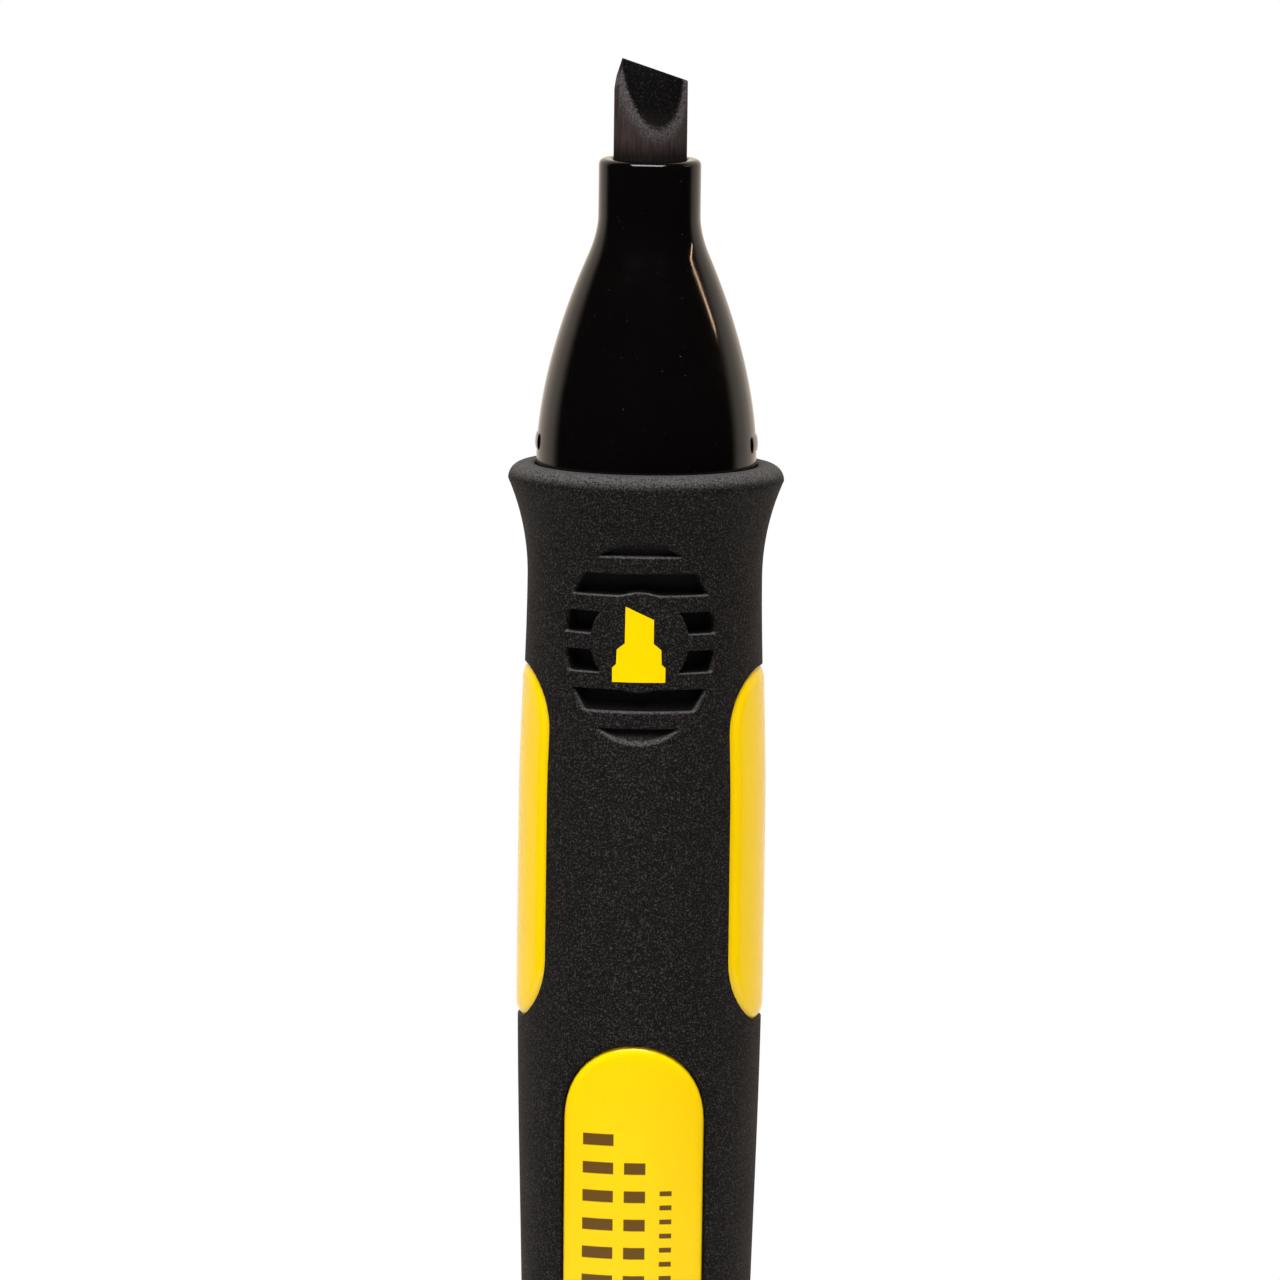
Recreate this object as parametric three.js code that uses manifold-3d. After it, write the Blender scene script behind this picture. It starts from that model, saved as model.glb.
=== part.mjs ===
// A chunky chisel-tip marker, uncapped, with its cap posted on the tail.
// It stands upright on the end of the cap. The axis is +Z towards the writing tip, the origin is the
// centre of the cap's end face, and the front, where the thumb rest and the label are, faces -Y.
// Millimetres throughout.
import * as THREE from "three";
import { mergeVertices } from "three/addons/utils/BufferGeometryUtils.js";
import Module from "manifold-3d";

const wasm = await Module();
wasm.setup();

// ---------------------------------------------------------------------------------------------
// Driving dimensions
// ---------------------------------------------------------------------------------------------

// Fits and gaps between pieces
const mouldGap = 0.06; // rubber or an inlay on the hard plastic that it covers
const pressGap = 0.06; // a spigot pressed into a bore
const seatGap = 0.1; // a shoulder on the face that it seats on
const windowGap = 0.15; // round an inlay in its window
const capSlip = 0.08; // the cap's bore over the snap beads
const sealGap = 0.05; // the liner's bore over the neck
const cutMargin = 1; // how far a cut, or the stock that it trims, runs past the finished piece

// Barrel: the hard tube in the middle of the marker
const barrelRadius = 8.0;
const barrelWall = 1.35;

// Rubber grip, from the tail shoulder to the top of the collar
const gripLength = 92.5;
const rubberWaist = 1.85; // thickness at the waist under the fingers
const rubberBelly = 2.27; // and where the grip is fattest
const rubberTail = 1.45; // and at the second waist near the tail
const waistDrop = 9.5; // from the collar's top down to the waist
const bellyTopDrop = 28.5; // the belly keeps its full thickness from here
const bellyBottomDrop = 41.8; // down to here
const tailWaistRise = 9.7; // from the tail shoulder up to the second waist
const collarFlare = 20.3; // radius of the arc that opens the waist to the collar
const tailFlare = 42.0;
const collarRound = 1.3; // rounding of the collar's lip
const tailRound = 0.9;
const collarDepth = 2.4; // how deep the nose sits in the collar

// Thumb rest: an oval dish crossed by ribs, with a round island in its middle, front and back
const restDrop = 14.0; // from the collar's top down to its centre
const restHalfAngle = 40.3; // how far round the grip it reaches, in degrees each way
const restHalfHeight = 8.77;
const restDepth = 1.2;
const restEdgeShare = 0.1; // share of its depth that is left at its top and bottom
const ribCount = 5;
const ribPitch = 3.24;
const ribHeight = 1.26;
const islandRadius = 4.25;
const symbolHeight = 6.3;
const symbolDepth = 0.6;

// Yellow inlays in windows of the rubber
const inlayProud = 0.05;
const sideHalfAngle = 42.0;
const sideTopDrop = 16.6;
const sideLength = 30.15;
const sideEndHeight = 4.8; // height of the rounded ends
const labelHalfAngle = 35.4;
const labelTopDrop = 47.8;
const labelTailMargin = 6.2; // plain rubber between the label and the tail shoulder
const labelEndHeight = 5.5;

// Nose: the glossy front section that carries the nib
const noseShoulder = 1.23; // how far its base stands out from the barrel
const noseReach = 25.65; // from the collar's top to the end of the neck
const neckLength = 4.7;
const neckFillet = 3.4; // height of the concave sweep from the cone to the neck
const neckFilletReach = 0.8; // how much wider than the neck the sweep starts
const noseBaseHeight = 0.8; // straight part above the collar
const noseBulge = 1.75; // power by which the cone's radius falls: 1 would be straight
const noseHollow = 7.0; // height of the hollow inside the cone
const noseWall = 1.4;
const neckRound = 0.5;
const spigotLength = 8.0;
const spigotWall = 1.3;

// Nib: a rod of bonded fibre with a chisel end
const nibRadius = 3.08;
const neckWall = 1.21; // round the nib, its clearance included
const nibSlip = 0.12;
const nibReach = 8.4; // from the end of the neck to the point
const nibSlant = 18.9; // the writing edge falls this much from left to right, in degrees
const nibEdgeHalf = 0.6; // half the thickness of the writing edge
const nibWedge = 25.0; // each broad facet leans in by this much
const nibTurn = 9.0; // how far the nib is turned in its bore, in degrees
const nibCorner = 0.7; // how far in from the side the point lies
const nibBury = 9.0; // how deep the tail of the nib goes into the reservoir
const nibTailCone = 3.0;
const nibTailRadius = 0.92;
const nibCornerLean = 76; // lean of the cut that blunts the high corner, in degrees

// Ink reservoir: a fibre core in a film sleeve
const filmThickness = 0.25;
const filmSlip = 0.12;
const reservoirSetback = 0.4; // air between it and the nose's or the plug's spigot

// Tail plug: closes the barrel and is what the cap is posted on
const postLength = 14.0;
const plugWall = 1.6;
const plugRound = 0.8;

// Snap beads at both sides of the nose's base and of the tail plug
const beadHeight = 1.5;
const beadProud = 0.16;
const beadFlank = 0.8; // share of its full height half way to its edge
const beadRoot = 0.5; // how deep it is joined to the wall
const beadHalfAngle = 14.5;
const beadSetback = 1.9; // from the shoulder to the middle of the bead

// Cap
const capWall = 1.65;
const capTaper = 1.2; // how much slimmer it is at the closed end
const capEndRound = 1.6;
const capFloor = 3.0; // thickness of its closed end
const capSeat = 0.3; // air between its mouth and the shoulder
const capLipRound = 0.5;
const plugRoom = 2.0; // below the posted tail plug, before the bore narrows
const linerWall = 1.2;
const linerFloor = 1.5;
const linerLip = 0.4; // chamfers of its rim
const sealLength = 5.0; // how far the liner overlaps the neck when the marker is capped
const nibRoom = 3.4; // from the point of the nib to the liner's floor
const ventCount = 3;
const ventWidth = 1.1;
const ventLength = 4.0;
const discThickness = 1.2;
const bandBottom = 9.5; // the rubber band's lower edge, from the cap's end
const bandLength = 17.0;
const bandDepth = 0.75; // how deep it is let into the shell
const bandProud = 0.35;
const bandValley = 0.07; // how far the valleys between its ribs lie under the shell's surface
const bandRibs = 5;

// Pocket clip
const clipWidth = 5.6;
const clipThickness = 1.4;
const clipGap = 1.5; // between its arm and the cap at the mouth
const clipRootHeight = 4.0;
const clipRootRise = 3.6; // from the cap's end face to the bottom of its root
const clipFootDepth = 1.3; // how deep its foot goes into the cap's wall
const clipFootGap = 0.35;
const clipMouthMargin = 4.0; // the arm ends this far short of the cap's mouth
const clipBump = 1.05; // how far the bump at its end reaches in
const clipBumpHeight = 6.0;
const clipHeel = 1.8; // outer bend at its root
const clipInnerHeel = 1.2;
const clipFlare = 3.0; // height over which its end turns out
const clipLift = 0.7; // and how far
const clipEndThickness = 1.1;

// How finely round pieces are cut
const outerSegments = 40;
const innerSegments = 28;
const outlineSegments = 9; // for each curve of an extruded outline
const bendSegments = 5; // for each small bend or rounded edge

// ---------------------------------------------------------------------------------------------
// Places and radii that follow from them
// ---------------------------------------------------------------------------------------------

const barrelBore = barrelRadius - barrelWall;
const spigotRadius = barrelBore - pressGap;
const noseRadius = barrelRadius + noseShoulder;
const neckRadius = nibRadius + neckWall;
const neckBore = nibRadius + nibSlip;
const gripBore = barrelRadius + mouldGap;
const capBore = noseRadius + beadProud + capSlip;
const capMouthRadius = capBore + capWall;
const capEndRadius = capMouthRadius - capTaper;
const linerBore = neckRadius + sealGap;
const linerRadius = linerBore + linerWall;
const ventRadius = linerRadius + ventWidth;
const capFloorBore = ventRadius + ventWidth;

// Heights, from the end face of the cap up to the point of the nib
const linerDepth = noseReach + nibReach + nibRoom;
const capLength = linerDepth + linerFloor + seatGap + capFloor;
const tailZ = capLength + capSeat;
const tailWaistZ = tailZ + tailWaistRise;
const collarZ = tailZ + gripLength;
const waistZ = collarZ - waistDrop;
const bellyTopZ = collarZ - bellyTopDrop;
const bellyBottomZ = collarZ - bellyBottomDrop;
const restZ = collarZ - restDrop;
const noseSeatZ = collarZ - collarDepth;
const barrelTopZ = noseSeatZ - seatGap;
const neckTopZ = collarZ + noseReach;
const pointZ = neckTopZ + nibReach;
const plugEndZ = tailZ - postLength;
const linerMouthZ = capLength - (noseReach - sealLength);
const reservoirTopZ = noseSeatZ - spigotLength - reservoirSetback;
const reservoirBottomZ = tailZ + spigotLength + reservoirSetback;
const nibTailZ = reservoirTopZ - nibBury;

// ---------------------------------------------------------------------------------------------
// Materials
// ---------------------------------------------------------------------------------------------

const plastic = (color, roughness) => new THREE.MeshStandardMaterial({ color, roughness, metalness: 0 });
const glossBlack = plastic(0x0b0a0a, 0.12);
const rubberBlack = plastic(0x1d1c1b, 0.8);
const yellowPlastic = plastic(0xf7cf05, 0.35);
const barrelPlastic = plastic(0x161616, 0.45);
const fibreBlack = plastic(0x17130f, 0.95);
const fibreInk = plastic(0x0d0e14, 0.9);
const clearFilm = plastic(0xd9dadc, 0.25);
const linerPlastic = plastic(0xdedbd0, 0.4);

// ---------------------------------------------------------------------------------------------
// Solids
// ---------------------------------------------------------------------------------------------

// A closed three.js geometry as a manifold-3d solid.
function solid(geometry) {
  const bare = geometry.index ? geometry.toNonIndexed() : geometry.clone();
  bare.deleteAttribute("normal");
  bare.deleteAttribute("uv");
  const merged = mergeVertices(bare, 1e-4);
  const vertProperties = merged.attributes.position.array;
  const triVerts = new Uint32Array(merged.index.array);
  return new wasm.Manifold(new wasm.Mesh({ numProp: 3, vertProperties, triVerts }));
}

function union(solids) {
  return solids.reduce((whole, piece) => whole.add(piece));
}

function piece(name, shape, material) {
  const made = shape.getMesh();
  const geometry = new THREE.BufferGeometry();
  geometry.setAttribute("position", new THREE.BufferAttribute(made.vertProperties, 3));
  geometry.setIndex(new THREE.BufferAttribute(made.triVerts, 1));
  geometry.computeVertexNormals();
  const mesh = new THREE.Mesh(geometry, material);
  mesh.name = name;
  return mesh;
}

// A solid of revolution. The profile's points are [radius, height], up the outside and down the inside.
function turned(profile, segments = outerSegments) {
  const points = profile.map(([radius, height]) => new THREE.Vector2(radius, height));
  if (profile[0][0] > 0) points.push(points[0].clone());
  return solid(new THREE.LatheGeometry(points, segments).rotateX(Math.PI / 2));
}

// A shape drawn in X and Z, extruded from the axis out to the side that turn names:
// 0 is the front, 90 the right, 180 the back and 270 the left.
function prism(shape, reach, turn = 0) {
  const geometry = new THREE.ExtrudeGeometry(shape, {
    depth: reach, bevelEnabled: false, curveSegments: outlineSegments,
  });
  return solid(geometry.rotateX(Math.PI / 2).rotateZ(THREE.MathUtils.degToRad(turn)));
}

// A block by its size and its middle, then turned round the axis, in degrees.
function block(width, depth, height, x, y, z, turn = 0) {
  const geometry = new THREE.BoxGeometry(width, depth, height).translate(x, y, z);
  return solid(geometry.rotateZ(THREE.MathUtils.degToRad(turn)));
}

// Points [radius, height] on a curve radius(height).
function sampled(radius, from, to, steps) {
  return Array.from({ length: steps + 1 }, (_, i) => {
    const height = THREE.MathUtils.lerp(from, to, i / steps);
    return [radius(height), height];
  });
}

// Points [radius, height] on an arc, its angles in degrees from straight out, counter-clockwise.
function arc(centreRadius, centreHeight, round, from, to, steps = bendSegments) {
  return Array.from({ length: steps + 1 }, (_, i) => {
    const angle = THREE.MathUtils.degToRad(THREE.MathUtils.lerp(from, to, i / steps));
    return [centreRadius + round * Math.cos(angle), centreHeight + round * Math.sin(angle)];
  });
}

// How far a circular arc has left its tangent after a run along it.
function arcRise(run, radius) {
  return run > 0 ? radius - Math.sqrt(radius * radius - run * run) : 0;
}

// ---------------------------------------------------------------------------------------------
// The grip's outer surface, which the inlays and the symbols follow too
// ---------------------------------------------------------------------------------------------

function gripRadius(z) {
  const belly = barrelRadius + rubberBelly;
  const end = barrelRadius + (z > bellyTopZ ? rubberWaist : rubberTail);
  const share = z > bellyTopZ
    ? THREE.MathUtils.smoothstep(z, bellyTopZ, waistZ)
    : 1 - THREE.MathUtils.smoothstep(z, tailWaistZ, bellyBottomZ);
  const plain = THREE.MathUtils.lerp(belly, end, share);
  return plain + arcRise(z - waistZ, collarFlare) + arcRise(tailWaistZ - z, tailFlare);
}

// The ring of material between two depths under the grip's outer surface.
function gripLayer(outerOffset, innerOffset, bottomZ, topZ, steps) {
  const outer = sampled((z) => gripRadius(z) + outerOffset, bottomZ, topZ, steps);
  const inner = sampled((z) => gripRadius(z) - innerOffset, topZ, bottomZ, steps);
  return turned([...outer, ...inner]);
}

// An upright outline with straight sides and elliptical ends.
function roundEnded(halfWidth, endHeight, bottomZ, topZ) {
  const shape = new THREE.Shape();
  shape.moveTo(halfWidth, bottomZ + endHeight);
  shape.lineTo(halfWidth, topZ - endHeight);
  shape.absellipse(0, topZ - endHeight, halfWidth, endHeight, 0, Math.PI, false, 0);
  shape.lineTo(-halfWidth, bottomZ + endHeight);
  shape.absellipse(0, bottomZ + endHeight, halfWidth, endHeight, Math.PI, 2 * Math.PI, false, 0);
  return shape;
}

const halfChord = (halfAngle, radius) => radius * Math.sin(THREE.MathUtils.degToRad(halfAngle));
const farOut = 2 * capMouthRadius; // clear of every outer surface

const sideTopZ = collarZ - sideTopDrop;
const labelTopZ = collarZ - labelTopDrop;
const inlays = [
  { name: "label_inlay", turn: 0, kind: "label" },
  { name: "right_inlay", turn: 90, kind: "side" },
  { name: "rear_inlay", turn: 180, kind: "label" },
  { name: "left_inlay", turn: 270, kind: "side" },
];
const inlayKinds = {
  label: {
    halfWidth: halfChord(labelHalfAngle, barrelRadius + rubberBelly),
    endHeight: labelEndHeight,
    bottomZ: tailZ + labelTailMargin,
    topZ: labelTopZ,
  },
  side: {
    halfWidth: halfChord(sideHalfAngle, barrelRadius + rubberBelly),
    endHeight: sideEndHeight,
    bottomZ: sideTopZ - sideLength,
    topZ: sideTopZ,
  },
};

function inlayPrism({ turn, kind }, shrink) {
  const { halfWidth, endHeight, bottomZ, topZ } = inlayKinds[kind];
  const outline = roundEnded(halfWidth - shrink, endHeight - shrink, bottomZ + shrink, topZ - shrink);
  return prism(outline, farOut, turn);
}

// Each inlay is a curved plate on the barrel, a little proud of the rubber.
function inlaySolid(inlay) {
  const { bottomZ, topZ } = inlayKinds[inlay.kind];
  const outer = sampled((z) => gripRadius(z) + inlayProud, bottomZ, topZ, 8);
  const plate = turned([...outer, [gripBore, topZ], [gripBore, bottomZ]]);
  return plate.intersect(inlayPrism(inlay, windowGap));
}

// ---------------------------------------------------------------------------------------------
// Thumb rest and its symbol
// ---------------------------------------------------------------------------------------------

// The dish is deepest in its middle and runs out at its top and bottom.
// The ribs and the round island keep the grip's own surface.
function thumbRestCut() {
  const halfWidth = halfChord(restHalfAngle, barrelRadius + rubberWaist);
  const oval = new THREE.Shape().absellipse(0, restZ, halfWidth, restHalfHeight, 0, 2 * Math.PI, false, 0);
  const island = new THREE.Shape().absarc(0, restZ, islandRadius, 0, 2 * Math.PI, false);
  const bottomZ = restZ - restHalfHeight - cutMargin;
  const topZ = restZ + restHalfHeight + cutMargin;
  const floor = (z) => {
    const off = (z - restZ) / restHalfHeight;
    return gripRadius(z) - restDepth * Math.max(1 - off * off, restEdgeShare);
  };
  const core = turned([[0, bottomZ], ...sampled(floor, bottomZ, topZ, 10), [0, topZ]]);
  const ribs = Array.from({ length: ribCount }, (_, i) => {
    const ribZ = restZ + (i - (ribCount - 1) / 2) * ribPitch;
    return block(2 * farOut, 2 * farOut, ribHeight, 0, 0, ribZ);
  });
  const kept = union([core, ...ribs, prism(island, farOut, 0), prism(island, farOut, 180)]);
  return prism(oval, farOut, 0).add(prism(oval, farOut, 180)).subtract(kept);
}

// A chisel tip in outline: a slanted nib on a stepped nose and a wider base.
function symbolShape(grow) {
  const drawnHeight = 6.5; // the outline's points are drawn at this height
  const unit = symbolHeight / drawnHeight;
  const bottom = restZ - symbolHeight / 2;
  const at = (x, z) => [x * unit + Math.sign(x) * grow, bottom + z * unit];
  const outline = [
    at(-2.2, 0), at(2.2, 0), at(2.2, 0.95), at(1.85, 1.4), at(1.8, 2.45), at(1.2, 3.1),
    at(1.2, 5.15), at(-1.2, drawnHeight), at(-1.2, 3.1), at(-1.8, 2.45), at(-1.85, 1.4), at(-2.2, 0.95),
  ];
  outline.forEach((point) => (point[1] += point[1] > restZ ? grow : -grow));
  return new THREE.Shape(outline.map(([x, z]) => new THREE.Vector2(x, z)));
}

const symbolBottomZ = restZ - symbolHeight;
const symbolTopZ = restZ + symbolHeight;

function symbolSolid(turn) {
  const layer = gripLayer(0, symbolDepth, symbolBottomZ, symbolTopZ, 6);
  return layer.intersect(prism(symbolShape(0), farOut, turn));
}

function symbolPocket(turn) {
  const layer = gripLayer(cutMargin, symbolDepth + seatGap, symbolBottomZ, symbolTopZ, 6);
  return layer.intersect(prism(symbolShape(seatGap), farOut, turn));
}

// ---------------------------------------------------------------------------------------------
// Rubber grip, moulded over the barrel
// ---------------------------------------------------------------------------------------------

function rubberGrip() {
  const lipZ = collarZ - collarRound;
  const lipRadius = gripRadius(lipZ) - collarRound;
  const tailLipZ = tailZ + tailRound;
  const tailLipRadius = gripRadius(tailLipZ) - tailRound;
  const collarBore = noseRadius + windowGap;
  const sleeve = turned([
    ...arc(tailLipRadius, tailLipZ, tailRound, -90, 0, 3),
    ...sampled(gripRadius, tailLipZ, lipZ, 18).slice(1, -1),
    ...arc(lipRadius, lipZ, collarRound, 0, 90, 4),
    [collarBore, collarZ],
    [collarBore, noseSeatZ],
    [gripBore, noseSeatZ],
    [gripBore, tailZ],
  ]);
  const windows = inlays.map((inlay) => inlayPrism(inlay, 0));
  return sleeve.subtract(union([...windows, thumbRestCut(), symbolPocket(0), symbolPocket(180)]));
}

function barrel() {
  return turned([
    [barrelRadius, tailZ + seatGap],
    [barrelRadius, barrelTopZ],
    [barrelBore, barrelTopZ],
    [barrelBore, tailZ + seatGap],
  ]);
}

// ---------------------------------------------------------------------------------------------
// Nose, tail plug and their snap beads
// ---------------------------------------------------------------------------------------------

// A low bead along both sides, which the cap clicks over.
function snapBeads(centreZ) {
  const half = beadHeight / 2;
  const bead = turned([
    [noseRadius - beadRoot, centreZ - half],
    [noseRadius, centreZ - half],
    [noseRadius + beadProud * beadFlank, centreZ - half / 2],
    [noseRadius + beadProud, centreZ],
    [noseRadius + beadProud * beadFlank, centreZ + half / 2],
    [noseRadius, centreZ + half],
    [noseRadius - beadRoot, centreZ + half],
  ]);
  return bead.intersect(block(2 * farOut, 2 * halfChord(beadHalfAngle, noseRadius), 2 * half, 0, 0, centreZ));
}

// The cone bulges: its radius falls slowly above the base and faster towards the neck.
function nose() {
  const coneZ = collarZ + noseBaseHeight;
  const filletTopZ = neckTopZ - neckLength;
  const coneTopZ = filletTopZ - neckFillet;
  const fall = (noseRadius - neckRadius - neckFilletReach) / (coneTopZ - coneZ) ** noseBulge;
  const cone = (z) => noseRadius - fall * Math.max(z - coneZ, 0) ** noseBulge;
  const slope = fall * noseBulge * (coneTopZ - coneZ) ** (noseBulge - 1);
  const sweep = new THREE.QuadraticBezierCurve(
    new THREE.Vector2(cone(coneTopZ), coneTopZ),
    new THREE.Vector2(neckRadius, coneTopZ + neckFilletReach / slope),
    new THREE.Vector2(neckRadius, filletTopZ),
  );
  const inside = (z) => Math.max(cone(z) - noseWall, neckBore);
  const spigotEndZ = noseSeatZ - spigotLength;
  const shell = turned([
    [spigotRadius, spigotEndZ],
    [spigotRadius, noseSeatZ],
    [noseRadius, noseSeatZ],
    ...sampled(cone, coneZ, coneTopZ, 9),
    ...sweep.getPoints(4).slice(1).map((point) => [point.x, point.y]),
    ...arc(neckRadius - neckRound, neckTopZ - neckRound, neckRound, 0, 90, 3),
    [neckBore, neckTopZ],
    [neckBore, coneTopZ],
    ...sampled(inside, coneTopZ, coneTopZ - noseHollow, 3),
    [spigotRadius - spigotWall, coneZ],
    [spigotRadius - spigotWall, spigotEndZ],
  ]);
  return shell.add(snapBeads(collarZ + beadSetback));
}

// A cup with its mouth inside the barrel. Its head is as wide as the nose's base, so the cap fits both.
function tailPlug() {
  const headTopZ = tailZ - seatGap;
  const cupRadius = spigotRadius - spigotWall;
  const cup = turned([
    [0, plugEndZ],
    ...arc(noseRadius - plugRound, plugEndZ + plugRound, plugRound, -90, 0, 4),
    [noseRadius, headTopZ],
    [spigotRadius, headTopZ],
    [spigotRadius, tailZ + spigotLength],
    [cupRadius, tailZ + spigotLength],
    [cupRadius, plugEndZ + plugWall],
    [0, plugEndZ + plugWall],
  ]);
  return cup.add(snapBeads(tailZ - beadSetback));
}

// ---------------------------------------------------------------------------------------------
// Nib and ink reservoir
// ---------------------------------------------------------------------------------------------

// A big block whose lower face passes through a point, leaning about Y and about X, in degrees,
// and then turned with the nib.
function cutAbove(x, y, z, leanY, leanX) {
  const size = 40;
  const geometry = new THREE.BoxGeometry(size, size, size).translate(0, 0, size / 2);
  geometry.rotateX(THREE.MathUtils.degToRad(leanX)).rotateY(THREE.MathUtils.degToRad(leanY));
  return solid(geometry.translate(x, y, z).rotateZ(THREE.MathUtils.degToRad(nibTurn)));
}

// The writing edge runs from a high left corner down to the right, between two broad facets.
function nib() {
  const rod = turned([[0, nibTailZ], [nibTailRadius, nibTailZ], [nibRadius, nibTailZ + nibTailCone],
    [nibRadius, pointZ + cutMargin], [0, pointZ + cutMargin]], innerSegments);
  const pointX = nibCorner - nibRadius;
  const facetLean = 90 - nibWedge;
  return rod
    .subtract(cutAbove(pointX, 0, pointZ, nibSlant, 0))
    .subtract(cutAbove(pointX, -nibEdgeHalf, pointZ, nibSlant, facetLean))
    .subtract(cutAbove(pointX, nibEdgeHalf, pointZ, nibSlant, -facetLean))
    .subtract(cutAbove(pointX, 0, pointZ, -nibCornerLean, 0));
}

function inkReservoir() {
  const radius = barrelBore - filmSlip - filmThickness - mouldGap;
  const bore = nibRadius + mouldGap;
  return turned([
    [0, reservoirBottomZ],
    [radius, reservoirBottomZ],
    [radius, reservoirTopZ],
    [bore, reservoirTopZ],
    [bore, nibTailZ + nibTailCone - seatGap],
    [nibTailRadius + mouldGap, nibTailZ - seatGap],
    [0, nibTailZ - seatGap],
  ], innerSegments);
}

function reservoirFilm() {
  const outside = barrelBore - filmSlip;
  return turned([
    [outside, reservoirBottomZ],
    [outside, reservoirTopZ],
    [outside - filmThickness, reservoirTopZ],
    [outside - filmThickness, reservoirBottomZ],
  ], innerSegments);
}

// ---------------------------------------------------------------------------------------------
// Cap
// ---------------------------------------------------------------------------------------------

function capRadius(z) {
  return THREE.MathUtils.lerp(capEndRadius, capMouthRadius, THREE.MathUtils.smoothstep(z, 0, capLength));
}

const discRadius = linerRadius - windowGap;
const bandTopZ = bandBottom + bandLength;
const clipRootZ = clipRootRise + clipRootHeight / 2;

function capShell() {
  const boreEndZ = plugEndZ - plugRoom;
  const shell = turned([
    [0, 0],
    ...arc(capEndRadius - capEndRound, capEndRound, capEndRound, -90, 0),
    ...sampled(capRadius, capEndRound, capLength - capLipRound, 6).slice(1, -1),
    ...arc(capMouthRadius - capLipRound, capLength - capLipRound, capLipRound, 0, 90, 3),
    [capBore + capLipRound, capLength],
    [capBore, capLength - capLipRound],
    [capBore, boreEndZ],
    [capFloorBore, capFloor],
    [0, capFloor],
  ]);
  const ventMiddle = ventRadius + ventWidth / 2;
  const vents = Array.from({ length: ventCount }, (_, i) => {
    const turn = 90 + (360 * i) / ventCount;
    return block(ventWidth, ventLength, 2 * capFloor, ventMiddle, 0, capFloor, turn);
  });
  const discRecess = turned([[0, -discThickness], [discRadius + windowGap, -discThickness],
    [discRadius + windowGap, discThickness + seatGap], [0, discThickness + seatGap]]);
  const bandGroove = turned([
    ...sampled(() => farOut, bandBottom, bandTopZ, 1),
    ...sampled((z) => capRadius(z) - bandDepth, bandTopZ, bandBottom, 2),
  ]);
  const footDepth = clipFootDepth + clipFootGap;
  const clipSocket = block(
    clipWidth + 2 * clipFootGap, 2 * footDepth, clipRootHeight + 2 * clipFootGap,
    0, -capRadius(clipRootZ), clipRootZ,
  );
  return shell.subtract(union([...vents, discRecess, bandGroove, clipSocket]));
}

function capEndDisc() {
  return turned([[0, 0], [discRadius, 0], [discRadius, discThickness], [0, discThickness]]);
}

// The soft cup that seals on the neck when the marker is capped.
function capLiner() {
  const bottomZ = capFloor + seatGap;
  return turned([
    [0, bottomZ],
    [linerRadius, bottomZ],
    [linerRadius, linerMouthZ - linerLip],
    [linerRadius - linerLip, linerMouthZ],
    [linerBore + linerLip, linerMouthZ],
    [linerBore, linerMouthZ - linerLip],
    [linerBore, bottomZ + linerFloor],
    [0, bottomZ + linerFloor],
  ], innerSegments);
}

// A rubber ring in a groove of the shell, with shallow ribs to pull on.
function capBand() {
  const bottomZ = bandBottom + windowGap;
  const topZ = bandTopZ - windowGap;
  const wave = (z) => Math.cos((2 * Math.PI * bandRibs * (z - bottomZ)) / (topZ - bottomZ));
  const outside = (z) => capRadius(z) + THREE.MathUtils.lerp(-bandValley, bandProud, (1 - wave(z)) / 2);
  const inside = (z) => capRadius(z) - bandDepth + mouldGap;
  return turned([...sampled(outside, bottomZ, topZ, 4 * bandRibs), ...sampled(inside, topZ, bottomZ, 2)]);
}

// Drawn in profile, out from the axis and up, and extruded to its width.
function pocketClip() {
  const wall = capRadius(clipRootZ);
  const armInside = capMouthRadius + clipGap;
  const armOutside = armInside + clipThickness;
  const tipZ = capLength - clipMouthMargin;
  const bottomZ = clipRootRise;
  const topZ = clipRootRise + clipRootHeight;
  const bumpInside = armInside - clipBump;
  const profile = new THREE.Shape();
  profile.moveTo(wall - clipFootDepth, bottomZ);
  profile.lineTo(armOutside - clipHeel, bottomZ);
  profile.quadraticCurveTo(armOutside, bottomZ, armOutside, bottomZ + clipHeel);
  profile.lineTo(armOutside, tipZ - clipFlare);
  profile.quadraticCurveTo(armOutside, tipZ - clipFlare / 3, armOutside + clipLift, tipZ);
  profile.lineTo(armOutside + clipLift - clipEndThickness, tipZ);
  profile.quadraticCurveTo(bumpInside, tipZ - clipBumpHeight / 4, bumpInside, tipZ - clipBumpHeight / 2);
  profile.quadraticCurveTo(bumpInside, tipZ - clipBumpHeight * 0.75, armInside, tipZ - clipBumpHeight);
  profile.lineTo(armInside, topZ + clipInnerHeel);
  profile.quadraticCurveTo(armInside, topZ, armInside - clipInnerHeel, topZ);
  profile.lineTo(wall - clipFootDepth, topZ);
  const geometry = new THREE.ExtrudeGeometry(profile, {
    depth: clipWidth, bevelEnabled: false, curveSegments: bendSegments,
  });
  // The profile's outward direction becomes -Y, its height Z and the extrusion X.
  const outwards = new THREE.Matrix4().makeBasis(
    new THREE.Vector3(0, -1, 0), new THREE.Vector3(0, 0, 1), new THREE.Vector3(-1, 0, 0),
  );
  return solid(geometry.applyMatrix4(outwards).translate(clipWidth / 2, 0, 0));
}

// ---------------------------------------------------------------------------------------------
// Assembly
// ---------------------------------------------------------------------------------------------

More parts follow.
